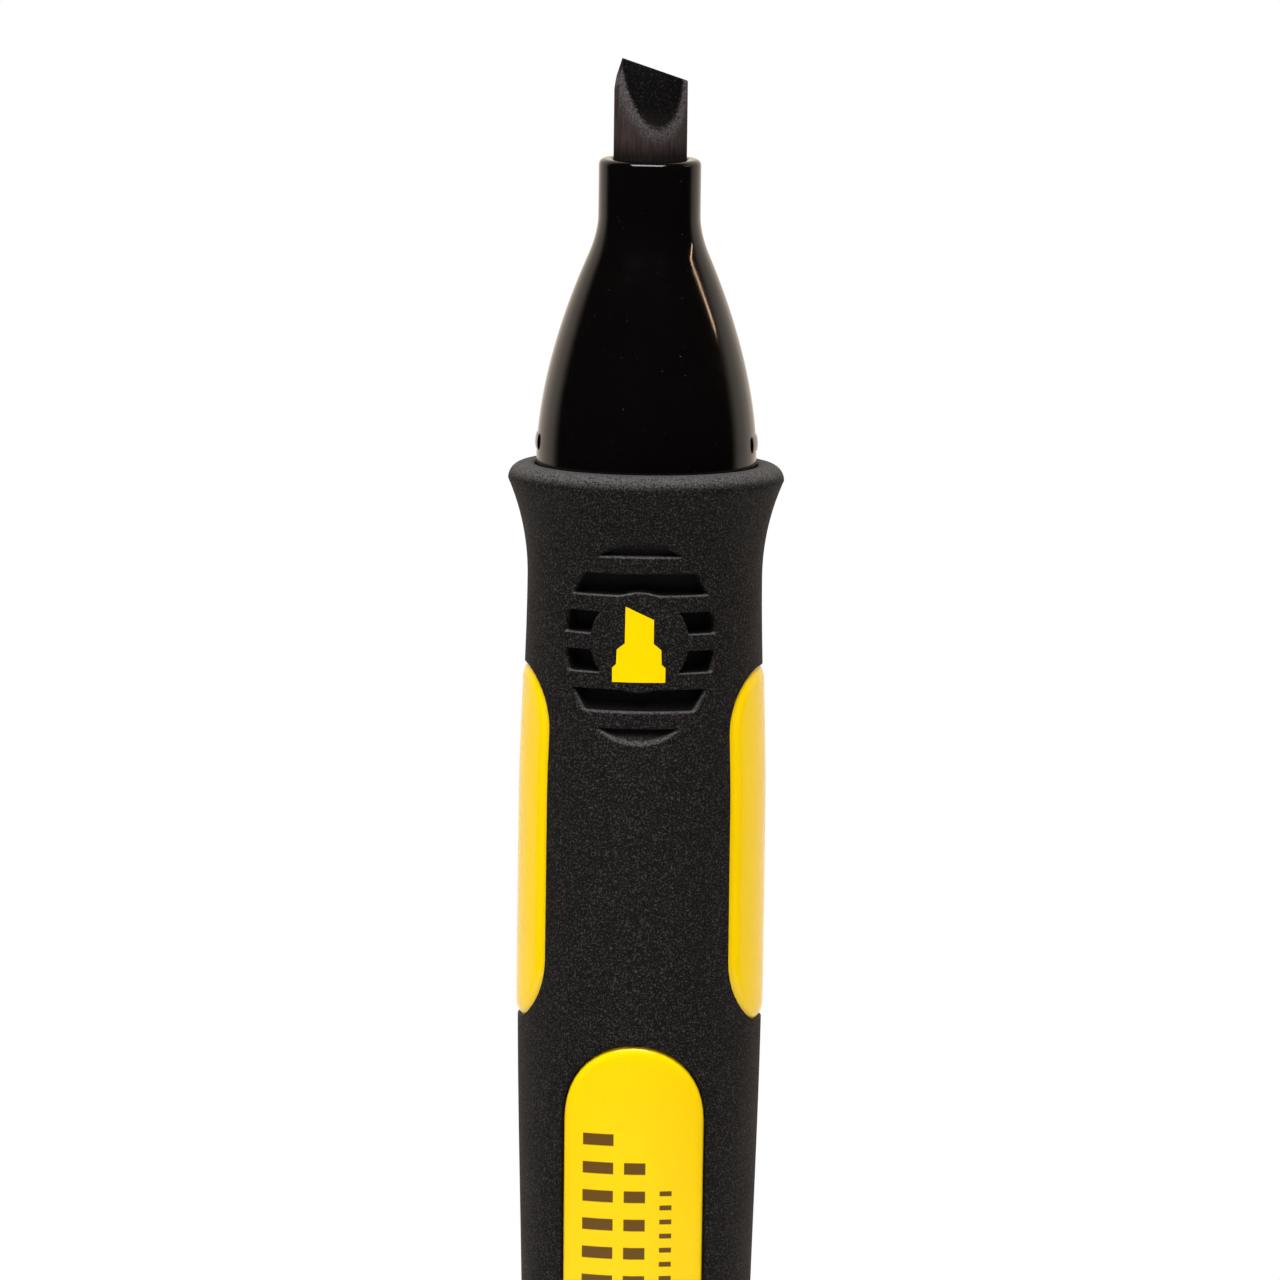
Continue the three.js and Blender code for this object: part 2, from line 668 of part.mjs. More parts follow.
const marker = new THREE.Group();
marker.add(
  piece("nib", nib(), fibreBlack),
  piece("nose", nose(), glossBlack),
  piece("barrel", barrel(), barrelPlastic),
  piece("rubber_grip", rubberGrip(), rubberBlack),
  ...inlays.map((inlay) => piece(inlay.name, inlaySolid(inlay), yellowPlastic)),
  piece("front_symbol", symbolSolid(0), yellowPlastic),
  piece("rear_symbol", symbolSolid(180), yellowPlastic),
  piece("ink_reservoir", inkReservoir(), fibreInk),
  piece("reservoir_film", reservoirFilm(), clearFilm),
  piece("tail_plug", tailPlug(), glossBlack),
);

const cap = new THREE.Group();
cap.add(
  piece("cap_shell", capShell(), glossBlack),
  piece("cap_liner", capLiner(), linerPlastic),
  piece("cap_band", capBand(), rubberBlack),
  piece("cap_end_disc", capEndDisc(), yellowPlastic),
  piece("pocket_clip", pocketClip(), yellowPlastic),
);

const assembly = new THREE.Group();
assembly.add(cap, marker);

export default assembly;
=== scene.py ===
import math

import bmesh
import bpy
import numpy as np
from mathutils import Matrix, Vector


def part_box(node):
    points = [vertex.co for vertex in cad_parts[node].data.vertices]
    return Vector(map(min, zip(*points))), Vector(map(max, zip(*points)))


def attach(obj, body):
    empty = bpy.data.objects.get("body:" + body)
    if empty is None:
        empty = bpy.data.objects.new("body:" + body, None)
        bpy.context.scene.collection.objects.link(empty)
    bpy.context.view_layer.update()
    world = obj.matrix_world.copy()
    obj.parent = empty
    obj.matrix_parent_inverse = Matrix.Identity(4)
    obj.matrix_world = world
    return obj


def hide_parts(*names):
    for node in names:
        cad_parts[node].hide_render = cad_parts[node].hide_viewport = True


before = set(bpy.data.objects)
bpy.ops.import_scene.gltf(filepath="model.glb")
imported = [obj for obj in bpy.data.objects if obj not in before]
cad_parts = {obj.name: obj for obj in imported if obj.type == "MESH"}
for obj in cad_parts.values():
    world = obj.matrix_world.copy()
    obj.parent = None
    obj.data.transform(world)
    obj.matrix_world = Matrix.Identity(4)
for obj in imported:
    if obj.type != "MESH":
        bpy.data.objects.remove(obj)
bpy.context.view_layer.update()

scene = bpy.context.scene
scene.view_settings.view_transform = "Standard"

# ---------------------------------------------------------------------------------------------
# Camera. A long lens at the level of the grip, looking down by a few degrees on the marker's
# upper two thirds. It is rolled a little, so that the marker leans.
# ---------------------------------------------------------------------------------------------

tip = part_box("nib")[1].z
view_height = 0.1075  # what the view takes in at the marker
view_drop = 0.0490  # from the tip to the middle of the view
view_aside = -0.00034
view_centre = Vector((view_aside, 0, tip - view_drop))
camera_distance = 1.5
camera_azimuth = math.radians(2.4)
camera_elevation = math.radians(6.8)
camera_roll = math.radians(0.73)

camera_data = bpy.data.cameras.new("camera")
camera_data.sensor_width = 36
camera_data.lens = camera_data.sensor_width * camera_distance / view_height
camera = bpy.data.objects.new("camera", camera_data)
towards_camera = Vector((
    math.sin(camera_azimuth) * math.cos(camera_elevation),
    -math.cos(camera_azimuth) * math.cos(camera_elevation),
    math.sin(camera_elevation),
))
level = towards_camera.to_track_quat("Z", "Y").to_matrix().to_4x4()
camera.matrix_world = (
    Matrix.Translation(view_centre + camera_distance * towards_camera)
    @ level
    @ Matrix.Rotation(camera_roll, 4, "Z")
)
scene.collection.objects.link(camera)
scene.camera = camera

# ---------------------------------------------------------------------------------------------
# Studio. A small pale floor, a white backdrop behind the marker, a dark room in front, a soft box
# overhead, a weak fill from each side and a thin warm bar far to the right.
# ---------------------------------------------------------------------------------------------


class Value:
    """A socket that gives a number, so that shader maths reads as plain expressions."""

    def __init__(self, tree, socket):
        self.tree = tree
        self.socket = socket

    def maths(self, operation, *terms):
        return self.tree.node("Math", {"operation": operation}, dict(enumerate(terms)))

    def __add__(self, other):
        return self.maths("ADD", self, other)

    def __sub__(self, other):
        return self.maths("SUBTRACT", self, other)

    def __rsub__(self, other):
        return self.maths("SUBTRACT", other, self)

    def __mul__(self, other):
        return self.maths("MULTIPLY", self, other)

    def __truediv__(self, other):
        return self.maths("DIVIDE", self, other)

    __radd__ = __add__
    __rmul__ = __mul__

    def ramp(self, low, high):
        """0 below low, 1 above high, and smooth between them."""
        return self.tree.node(
            "MapRange", {"interpolation_type": "SMOOTHSTEP"}, {0: self, 1: low, 2: high}
        )

    def absolute(self):
        return self.maths("ABSOLUTE", self)

    def fraction(self):
        return self.maths("FRACT", self)


class Tree:
    """A node tree with one way to add a node."""

    def __init__(self, nodes, links):
        self.nodes = nodes
        self.links = links

    def node(self, kind, settings={}, sockets={}, output=0):
        made = self.nodes.new("ShaderNode" + kind)
        for name, value in settings.items():
            setattr(made, name, value)
        for name, value in sockets.items():
            self.connect(made.inputs[name], value)
        return Value(self, made.outputs[output])

    def connect(self, socket, value):
        if isinstance(value, Value):
            self.links.new(value.socket, socket)
        else:
            socket.default_value = value


class Finish(Tree):
    """A material whose plain numbers are set straight on the shader's own sockets."""

    def __init__(self, name, **sockets):
        self.material = bpy.data.materials.new(name)
        self.material.use_nodes = True
        super().__init__(self.material.node_tree.nodes, self.material.node_tree.links)
        self.shader = self.nodes["Principled BSDF"]
        for socket, value in sockets.items():
            self.feed(socket.replace("_", " "), value)

    def feed(self, socket, value):
        self.connect(self.shader.inputs[socket], value)

    def place(self):
        return self.node("TexCoord", output="Object")

    def axis(self, letter):
        return self.node("SeparateXYZ", {}, {0: self.place()}, letter)

    def noise(self, size, detail=2.0, roughness=0.5, place=None):
        """Noise between 0 and 1 with features about this many metres across."""
        return self.node("TexNoise", {}, {
            "Vector": place or self.place(),
            "Scale": 1 / size,
            "Detail": detail,
            "Roughness": roughness,
        })

    def stretched(self, x, y, z):
        """Object coordinates scaled along each axis, for grain that runs one way."""
        return self.node("VectorMath", {"operation": "MULTIPLY"}, {0: self.place(), 1: (x, y, z)})

    def mix(self, factor, first, second):
        settings = {"data_type": "RGBA", "clamp_factor": True}
        return self.node("Mix", settings, {0: factor, 6: first, 7: second}, 2)

    def bump(self, height, depth):
        """Relief of this depth in metres, from a height between 0 and 1."""
        relief = {"Height": height, "Distance": depth, "Strength": 1.0}
        self.feed("Normal", self.node("Bump", {}, relief))


backdrop_strength = 1.0
backdrop_edge = (0.22, 0.50)  # where most of its light comes in, from 0 at the side to 1 behind
backdrop_edge_share = 0.7
backdrop_middle = (0.50, 1.0)  # where the rest of it comes in
room_strength = 0.012
surround_colour = (1.0, 0.86, 0.73, 1)  # as the marker sees it; the camera sees white

world = bpy.data.worlds.new("studio")
world.use_nodes = True
scene.world = world
sky = Tree(world.node_tree.nodes, world.node_tree.links)
direction = sky.node("TexCoord", output="Generated")
behind = sky.node("SeparateXYZ", {}, {0: direction}, "Y")
from_edge = backdrop_edge_share * behind.ramp(*backdrop_edge)
from_middle = (1 - backdrop_edge_share) * behind.ramp(*backdrop_middle)
brightness = room_strength + backdrop_strength * (from_edge + from_middle)
seen = sky.node("LightPath", output="Is Camera Ray")
tint = sky.node("Mix", {"data_type": "RGBA"}, {0: seen, 6: surround_colour, 7: (1, 1, 1, 1)}, 2)
background = world.node_tree.nodes["Background"]
sky.connect(background.inputs["Color"], tint)
sky.connect(background.inputs["Strength"], brightness * (1 - seen) + seen)


def soft_box(name, place, target, width, height, watts, color=(1, 1, 1), slant=0, mirrored=True):
    """An area light that the camera doesn't see. Unless mirrored, it leaves no highlight either."""
    data = bpy.data.lights.new(name, "AREA")
    data.shape = "RECTANGLE"
    data.size = width
    data.size_y = height
    data.energy = watts
    data.color = color
    lamp = bpy.data.objects.new(name, data)
    lamp.location = place
    aimed = (Vector(target) - Vector(place)).to_track_quat("-Z", "Y").to_matrix()
    lamp.rotation_euler = (aimed @ Matrix.Rotation(math.radians(slant), 3, "Z")).to_euler()
    lamp.visible_camera = False
    lamp.visible_glossy = mirrored
    scene.collection.objects.link(lamp)


grip_middle = (0, 0, 0.11)
nose_middle = (0, 0, 0.15)
warm_white = (1.0, 0.66, 0.42)
soft_box("top_light", (-0.04, -0.38, 0.92), grip_middle, 0.9, 0.40, 13.4)
soft_box("left_fill", (-0.90, -0.40, 0.25), grip_middle, 0.5, 0.5, 2.6, mirrored=False)
soft_box("right_fill", (0.90, -0.40, 0.25), grip_middle, 0.5, 0.5, 1.8, mirrored=False)
soft_box("warm_bar", (0.80, 0.15, 0.48), nose_middle, 0.26, 0.020, 0.36, warm_white, slant=-50)

floor_radius = 0.34
floor_thickness = 0.004
floor_finish = Finish("pale_floor", Base_Color=(0.86, 0.86, 0.85, 1))
floor_finish.feed("Roughness", 0.55 + 0.1 * floor_finish.noise(0.02))
bpy.ops.mesh.primitive_cylinder_add(
    vertices=96, radius=floor_radius, depth=floor_thickness, location=(0, 0, -floor_thickness / 2),
)
floor = bpy.context.object
floor.name = "floor"
floor.data.materials.append(floor_finish.material)

# ---------------------------------------------------------------------------------------------
# Rubber grip. Soft black rubber moulded over the barrel: a flared collar, a waist under the
# fingers and a full belly. Its front and back carry an oval thumb rest, a dish crossed by
# ribs round a flush island.
# ---------------------------------------------------------------------------------------------

tail_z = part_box("rubber_grip")[0].z
collar_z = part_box("rubber_grip")[1].z
waist_z = collar_z - 0.0095
belly_top_z = collar_z - 0.0285
belly_bottom_z = collar_z - 0.0418
tail_waist_z = tail_z + 0.0097
waist_radius = 0.00985
belly_radius = 0.01027
tail_waist_radius = 0.00945
collar_flare = 0.0203
tail_flare = 0.0420
collar_round = 0.0013
tail_round = 0.0009
collar_bore = 0.00935
grip_bore = 0.0081
seat_depth = 0.0024  # how deep the nose's foot sits in the collar
# The rounded inner edge of the collar: places beyond its bore and below its top.
bore_edge = [(0.00018, 0), (0.00005, 0.00005), (0, 0.0002)]


def smooth(t):
    t = np.clip(t, 0, 1)
    return t * t * (3 - 2 * t)


def arc_rise(run, radius):
    run = np.clip(run, 0, radius)
    return radius - np.sqrt(radius * radius - run * run)


def grip_radius(z):
    """The grip's plain outer surface, which the inlays and the symbols follow too."""
    z = np.asarray(z, float)
    to_waist = smooth((z - belly_top_z) / (waist_z - belly_top_z))
    to_tail = smooth((belly_bottom_z - z) / (belly_bottom_z - tail_waist_z))
    front = to_waist * (waist_radius - belly_radius)
    back = to_tail * (tail_waist_radius - belly_radius)
    flares = arc_rise(z - waist_z, collar_flare) + arc_rise(tail_waist_z - z, tail_flare)
    return belly_radius + front + back + flares


rest_z = collar_z - 0.0140
rest_half_angle = math.radians(40.3)
rest_half_width = math.sin(rest_half_angle) * waist_radius
rest_half_height = 0.00877
rest_depth = 0.0012
rest_bowl = 0.7  # power by which it runs out at its top and bottom
rest_wall = 0.00028  # how far the wall round the oval runs
groove_pitch = 0.00324
groove_height = 0.00198
lowest_groove = -0.00916  # from the middle of the rest to the bottom edge of the lowest groove
groove_count = 6
groove_lip = 0.00028  # how far the sloping lower wall of a groove runs
groove_eave = 0.00018  # and the steep upper one
island_radius = 0.00425
island_drop = 0.00004
island_edge = 0.00022


def rest_hollow(x, z):
    """How deep the thumb rest is at a place across and along the grip."""
    up = z - rest_z
    share = np.sqrt((x / rest_half_width) ** 2 + (up / rest_half_height) ** 2)
    dish = rest_depth * np.clip(1 - (up / rest_half_height) ** 2, 0, 1) ** rest_bowl
    dish = dish * smooth((1 - share) * rest_half_width / rest_wall)
    in_groove = np.zeros_like(dish)
    for i in range(groove_count):
        bottom = lowest_groove + i * groove_pitch
        rise = smooth((up - bottom) / groove_lip)
        drop = smooth((bottom + groove_height - up) / groove_eave)
        in_groove = np.maximum(in_groove, rise * drop)
    from_island = np.hypot(x, up + island_drop) - island_radius
    return dish * in_groove * smooth(from_island / island_edge + 0.5)


def spread(start, end, step):
    """Evenly spaced numbers from start to end, no further apart than step."""
    return np.linspace(start, end, max(2, int(math.ceil(abs(end - start) / step)) + 1))


def circle(radius, z, angles):
    """Points round the axis; angle 0 is the front and positive angles go to the right."""
    radius, z, angles = np.broadcast_arrays(radius, z, angles)
    return np.stack([radius * np.sin(angles), -radius * np.cos(angles), z], -1)


def surface(name, points, finish, body, around=True, caps=(False, False), sharp=40):
    """A mesh from a grid of points. Its columns close to a ring when it goes around, and its first
    and last rows to a flat cap where caps says so."""
    rows, columns = points.shape[:2]
    vertices = points.reshape(-1, 3).tolist()
    across = columns if around else columns - 1
    faces = []
    for start in range(0, (rows - 1) * columns, columns):
        for c in range(across):
            d = (c + 1) % columns
            faces.append((start + c, start + d, start + columns + d, start + columns + c))
    for wanted, row in zip(caps, (0, rows - 1)):
        if wanted:
            ring = [row * columns + c for c in range(columns)]
            faces.append(tuple(ring if row else reversed(ring)))
    mesh = bpy.data.meshes.new(name)
    mesh.from_pydata(vertices, [], faces)
    mesh.update()
    mesh.polygons.foreach_set("use_smooth", [True] * len(mesh.polygons))
    mesh.set_sharp_from_angle(angle=math.radians(sharp))
    mesh.materials.append(finish.material)
    piece = bpy.data.objects.new(name, mesh)
    scene.collection.objects.link(piece)
    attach(piece, body)
    return piece


def rubber(name):
    """Black rubber with a fine moulded grain and a little dust. Where it faces up it is painted
    lighter, partly dust and partly painted light from the lamp above. In the thumb rest's hollows it
    is painted almost black, a painted shade."""
    finish = Finish(name, Specular_IOR_Level=0.14)
    cloud = finish.noise(0.004, 3)
    grain = finish.noise(0.00015, 2, 0.7)
    speck = finish.noise(0.00022, 1).ramp(0.66, 0.80)
    facing_up = finish.node("SeparateXYZ", {}, {0: finish.node("NewGeometry", output="Normal")}, "Z")
    # Dust and painted top light: surfaces that face up are mixed towards a lighter grey, as if lit
    # from above.
    dust_and_top_light = facing_up.ramp(0.10, 0.75) * grain.ramp(0.30, 0.62)
    plain = finish.mix(cloud, (0.0006, 0.0004, 0.0004, 1), (0.0020, 0.0016, 0.0015, 1))
    grainy = finish.mix(grain.ramp(0.49, 0.69), plain, (0.0480, 0.0415, 0.0390, 1))
    specked = finish.mix(speck * 0.8, grainy, (0.075, 0.072, 0.070, 1))
    dusty_and_lit = finish.mix(dust_and_top_light, specked, (0.098, 0.095, 0.093, 1))
    # Painted shade: the rubber is made almost black in the thumb rest's hollows, the deeper the
    # darker.
    shade_by_depth = finish.node("Attribute", {"attribute_name": "shade_by_depth"}, output="Fac").ramp(0.16, 0.42)
    finish.feed("Base Color", finish.mix(shade_by_depth, dusty_and_lit, (0.0008, 0.0006, 0.0007, 1)))
    finish.feed("Roughness", 0.58 + 0.2 * cloud)
    finish.bump(grain, 0.00009)
    return finish


grip_rubber = rubber("grip_rubber")

front_reach = math.radians(43)  # a little further round than the thumb rest
front_step = math.radians(0.75)
side_step = math.radians(1.6)
rest_step = 0.00018
grip_step = 0.0008
collar_step = 0.0005
front_angles = spread(-front_reach, front_reach, front_step)
side_angles = spread(front_reach, math.pi - front_reach, side_step)[1:-1]
half_angles = np.concatenate([front_angles, side_angles])
grip_angles = np.concatenate([half_angles, half_angles + math.pi])

rest_rows = []
for i in range(groove_count):
    bottom = rest_z + lowest_groove + i * groove_pitch
    top = bottom + groove_height
    rest_rows.append(spread(bottom, bottom + groove_lip, groove_lip / 4))
    rest_rows.append(spread(bottom + groove_lip, top - groove_eave, rest_step)[1:-1])
    rest_rows.append(spread(top - groove_eave, top, groove_eave / 4))
    rest_rows.append(spread(top, bottom + groove_pitch, rest_step)[1:-1])
rest_rows = np.concatenate(rest_rows)
collar_lip_z = collar_z - collar_round
tail_lip_z = tail_z + tail_round
grip_rows = np.concatenate([
    spread(tail_lip_z, tail_waist_z, grip_step)[:-1],
    spread(tail_waist_z, rest_rows[0], grip_step)[:-1],
    rest_rows,
    spread(rest_rows[-1], collar_lip_z, collar_step)[1:],
])

heights = grip_rows[:, None]
across = grip_radius(grip_rows)[:, None] * np.sin(grip_angles)[None, :]
outside = grip_radius(grip_rows)[:, None] - rest_hollow(across, heights)
rings = []
for turn in np.radians(spread(-90, 0, 15))[:-1]:
    radius = grip_radius(tail_lip_z) - tail_round + tail_round * math.cos(turn)
    rings.append(circle(radius, tail_lip_z + tail_round * math.sin(turn), grip_angles))
for radius, z in zip(outside, grip_rows):
    rings.append(circle(radius, z, grip_angles))
for turn in np.radians(spread(0, 90, 10))[1:]:
    radius = grip_radius(collar_lip_z) - collar_round + collar_round * math.cos(turn)
    rings.append(circle(radius, collar_lip_z + collar_round * math.sin(turn), grip_angles))
for beyond, below in bore_edge:
    rings.append(circle(collar_bore + beyond, collar_z - below, grip_angles))
seat_z = collar_z - seat_depth
for radius, z in ((collar_bore, seat_z), (grip_bore, seat_z), (grip_bore, tail_z)):
    rings.append(circle(radius, z, grip_angles))
rings.append(rings[0])
grip = surface("rubber_grip_skin", np.array(rings), grip_rubber, "marker", sharp=55)
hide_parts("rubber_grip")

# How deep in the thumb rest each point is, from 0 to 1, which the rubber uses to paint shade in the
# rest's hollows. The bore's points, which lie deeper than the rest goes, and those above and below
# the rest don't count.
deepest_share = 1.1
across, back, up = np.array(rings).reshape(-1, 3).T
shade_by_depth = (grip_radius(up) - np.hypot(across, back)) / rest_depth
shade_by_depth[(np.abs(up - rest_z) > rest_half_height) | (shade_by_depth > deepest_share)] = 0
depths = grip.data.attributes.new("shade_by_depth", "FLOAT", "POINT")
depths.data.foreach_set("value", np.clip(shade_by_depth, 0, 1))

# ---------------------------------------------------------------------------------------------
# Yellow inlays. Curved panels of satin plastic that fill the windows of the rubber, a little
# proud of it, with a soft rounded edge: two at the sides, and a longer label panel on the
# front and the back. The label carries plain printed bars.
# ---------------------------------------------------------------------------------------------

inlay_proud = 0.00010
inlay_skirt = 0.0008
inlay_sink = 0.00045  # how far its rounded edge falls
inlay_step = 0.0008
bevel_step = 0.00011
skirt_inset = 0.00002
innermost = 0.0003  # half the width of a panel's innermost ring
sharpest = 0.00005  # the smallest corner radius of a ring
window_gap = 0.00004
window_depth = 0.0009
side_half_width = 0.0074
side_corner = 0.0054
side_bevel = 0.0013
label_half_width = 0.0065
label_corner = label_half_width  # its ends are fully round
label_bevel = 0.0010
bar_ink = (0.13, 0.060, 0.006, 1)
bar_blur = 0.00003  # how soft the bars' ends are, in metres
bar_edge = 0.02  # how soft their long edges are, as a share of their pitch
# Each ladder: place across, width, first bar below the label's top, pitch, number of bars and
# the inked share of the pitch.
ladders = [
    (-0.0029, 0.0026, 0.0075, 0.0024, 9, 0.42),
    (0.0002, 0.0018, 0.0099, 0.0024, 8, 0.42),
    (0.0028, 0.0010, 0.0123, 0.0012, 14, 0.35),
]


def yellow_plastic(name):
    """Satin yellow plastic, its colour a little uneven and its surface faintly rippled."""
    finish = Finish(name, Specular_IOR_Level=0.32)
    cloud = finish.noise(0.006, 2)
    finish.colour = finish.mix(cloud, (0.97, 0.625, 0.0006, 1), (1.0, 0.670, 0.0010, 1))
    finish.feed("Base Color", finish.colour)
    finish.feed("Roughness", 0.15 + 0.08 * finish.noise(0.0006, 3))
    finish.bump(finish.noise(0.00035, 2), 0.000006)
    return finish


def bars(finish, side):
    """Three ladders of plain straight bars, wide, narrow and fine, printed along the label."""
    x = finish.axis("X") * side
    below_top = label_top_z - finish.axis("Z")
    printed = 0.0
    for middle, width, first_bar, pitch, bar_count, bar_share in ladders:
        steps = (below_top - first_bar) / pitch
        half = bar_share / 2
        bar = 1 - (steps.fraction() - half).absolute().ramp(half - bar_edge, half + bar_edge)
        inside = 1 - (x - middle).absolute().ramp(width / 2 - bar_blur, width / 2 + bar_blur)
        along = steps.ramp(-bar_edge, 0.0) * (1 - steps.ramp(bar_count - bar_edge, bar_count))
        printed = bar * inside * along + printed
    finish.feed("Base Color", finish.mix(printed, finish.colour, bar_ink))


def rounded_outline(half_width, corner, low, high, count=44):
    """Points round an upright rounded rectangle, starting at its lower right corner."""
    quarter = np.radians(np.linspace(0, 90, count // 4 + 1))
    straight = np.linspace(0, 1, 30)[1:-1]
    centres = [
        (1, low + corner, -90), (1, high - corner, 0),
        (-1, high - corner, 90), (-1, low + corner, 180),
    ]
    outline = []
    for i, (side, z, start) in enumerate(centres):
        turn = quarter + math.radians(start)
        arc_x = side * (half_width - corner) + corner * np.cos(turn)
        outline.append(np.stack([arc_x, z + corner * np.sin(turn)], -1))
        if i in (0, 2):
            end_z = centres[i + 1][1]
            x = side * half_width
            outline.append(np.stack([np.full(len(straight), x), z + (end_z - z) * straight], -1))
        elif half_width > corner:
            x = side * (half_width - corner) * (1 - 2 * np.linspace(0, 1, 10)[1:-1])
            outline.append(np.stack([x, np.full(len(x), z + corner * (1 if i == 1 else -1))], -1))
    return np.concatenate(outline)


def apply_modifiers(piece, sharp):
    """Makes the result of a piece's modifiers its mesh, smooth but for its sharp edges."""
    result = piece.evaluated_get(bpy.context.evaluated_depsgraph_get())
    finished = bpy.data.meshes.new_from_object(result)
    piece.modifiers.clear()
    piece.data = finished
    finished.polygons.foreach_set("use_smooth", [True] * len(finished.polygons))
    finished.set_sharp_from_angle(angle=math.radians(sharp))


def cut_away(piece, cutters, sharp=38):
    """Cuts closed meshes out of a piece."""
    for cutter in cutters:
        modifier = piece.modifiers.new("cut", "BOOLEAN")
        modifier.operation = "DIFFERENCE"
        modifier.solver = "EXACT"
        modifier.object = cutter
    apply_modifiers(piece, sharp)
    for cutter in cutters:
        bpy.data.objects.remove(cutter)


def wrapped(outline, lift, turn):
    """An upright outline laid on the grip's own surface, or as far above it as lift says."""
    angles = outline[:, 0] / grip_radius(outline[:, 1]) + math.radians(turn)
    return circle(grip_radius(outline[:, 1]) + lift, outline[:, 1], angles)


def window_cutter(node, turn, half_width, corner):
    """A curved block, a hair larger than the panel, that cuts the panel's window in the rubber."""
    low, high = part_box(node)[0].z - window_gap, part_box(node)[1].z + window_gap

    def ring(inset, lift):
        width_left = half_width + window_gap - inset
        corner_left = max(corner + window_gap - inset, sharpest)
        outline = rounded_outline(width_left, corner_left, low + inset, high - inset)
        return wrapped(outline, lift, turn)

    insets = spread(0, half_width - innermost, inlay_step)
    under = [ring(inset, -window_depth) for inset in insets[::-1]]
    over = [ring(inset, window_depth) for inset in insets]
    return surface("cutter", np.array(under + over), grip_rubber, "marker", caps=(True, True))


def inlay(name, node, turn, half_width, corner, bevel, finish):
    """A panel wrapped round the grip, from rings of points inset from its outline."""
    low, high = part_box(node)[0].z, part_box(node)[1].z
    insets = np.concatenate([
        [0, skirt_inset],
        spread(0, bevel, bevel_step)[1:],
        bevel + spread(0, half_width - bevel - innermost, inlay_step)[1:],
    ])
    edge_round = (bevel ** 2 + inlay_sink ** 2) / (2 * inlay_sink)
    rings = []
    for k, inset in enumerate(insets):
        lift = inlay_proud - arc_rise(bevel - inset, edge_round)
        if k == 0:
            lift = -inlay_skirt
        corner_left = max(corner - inset, sharpest)
        ring = rounded_outline(half_width - inset, corner_left, low + inset, high - inset)
        rings.append(wrapped(ring, lift, turn))
    piece = surface(name, np.array(rings), finish, "marker", caps=(False, True), sharp=50)
    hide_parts(node)


label_top_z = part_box("label_inlay")[1].z
side_yellow = yellow_plastic("side_yellow")
front_label = yellow_plastic("front_label_yellow")
bars(front_label, 1)
rear_label = yellow_plastic("rear_label_yellow")
bars(rear_label, -1)
side_size = (side_half_width, side_corner)
label_size = (label_half_width, label_corner)
panels = [
    ("left_inlay_panel", "left_inlay", -90, side_size, side_bevel, side_yellow),
    ("right_inlay_panel", "right_inlay", 90, side_size, side_bevel, side_yellow),
    ("label_panel", "label_inlay", 0, label_size, label_bevel, front_label),
    ("rear_label_panel", "rear_inlay", 180, label_size, label_bevel, rear_label),
]
windows = [window_cutter(node, turn, *size) for name, node, turn, size, bevel, finish in panels]
cut_away(grip, windows, 55)
for name, node, turn, size, bevel, finish in panels:
    inlay(name, node, turn, *size, bevel, finish)

# ---------------------------------------------------------------------------------------------
# Tip symbols. The outline of a chisel nib on its stepped holder, a flush yellow inlay in the
# island of each thumb rest.
# ---------------------------------------------------------------------------------------------

symbol_lift = 0.00003
symbol_skirt = 0.0004
symbol_step = 0.0003
symbol_columns = 13
# From the foot up: height over the middle of the rest, left edge and right edge, in metres.
symbol_steps = [
    (-0.00330, -0.00222, 0.00222),
    (-0.00208, -0.00222, 0.00222),
    (-0.00180, -0.00190, 0.00190),
    (-0.00058, -0.00186, 0.00186),
    (-0.00004, -0.00119, 0.00122),
    (0.00196, -0.00117, 0.00122),
    (0.00300, -0.00117, -0.00107),
]


def tip_symbol(name, node, turn, finish):
    """Rows of points between the symbol's edges, wrapped on the grip, with its border turned in."""
    steps = np.array(symbol_steps)
    rows = np.unique(np.concatenate([steps[:, 0], spread(steps[0, 0], steps[-1, 0], symbol_step)]))
    left = np.interp(rows, steps[:, 0], steps[:, 1])
    right = np.interp(rows, steps[:, 0], steps[:, 2])
    share = np.linspace(0, 1, symbol_columns)
    x = left[:, None] + (right - left)[:, None] * share
    z = rest_z - island_drop + np.broadcast_to(rows[:, None], x.shape)
    x, z = (np.pad(values, 1, mode="edge") for values in (x, z))
    lift = np.pad(np.full((len(rows), len(share)), symbol_lift), 1, constant_values=-symbol_skirt)
    radius = grip_radius(z)
    points = circle(radius + lift, z, np.arcsin(x / radius) + math.radians(turn))
    piece = surface(name, points, finish, "marker", around=False, sharp=40)
    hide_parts(node)


symbol_yellow = yellow_plastic("symbol_yellow")
tip_symbol("front_tip_symbol", "front_symbol", 0, symbol_yellow)
tip_symbol("rear_tip_symbol", "rear_symbol", 180, symbol_yellow)

# ---------------------------------------------------------------------------------------------
# Nose. Glossy black polypropylene, moulded in one piece: a bulging cone that sweeps into a
# straight neck for the nib, with a low snap bead on each side just above the collar.
# ---------------------------------------------------------------------------------------------

nose_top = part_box("nose")[1].z
nose_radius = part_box("nose")[1].y
neck_radius = 0.00429
neck_bore = 0.00320
neck_round = 0.00050
neck_length = 0.0047
neck_fillet = 0.0034
fillet_reach = 0.0008
nose_base = 0.0008
nose_bulge = 1.75
bead_height = 0.00142
bead_proud = 0.00016
bead_half_angle = math.radians(14.5)
bead_setback = 0.0019
bead_run = 0.012  # angle over which a bead's end runs out
beaded_from = 0.0085  # the beads are on the surfaces wider than this
bead_angles = (-90, -75, -55, -30, 0, 30, 55, 75, 90)
nose_foot_wall = 0.001
nose_foot_edge = 0.0005
nose_wall = 0.0022
mouth_round = 0.00015
neck_bore_depth = 0.004


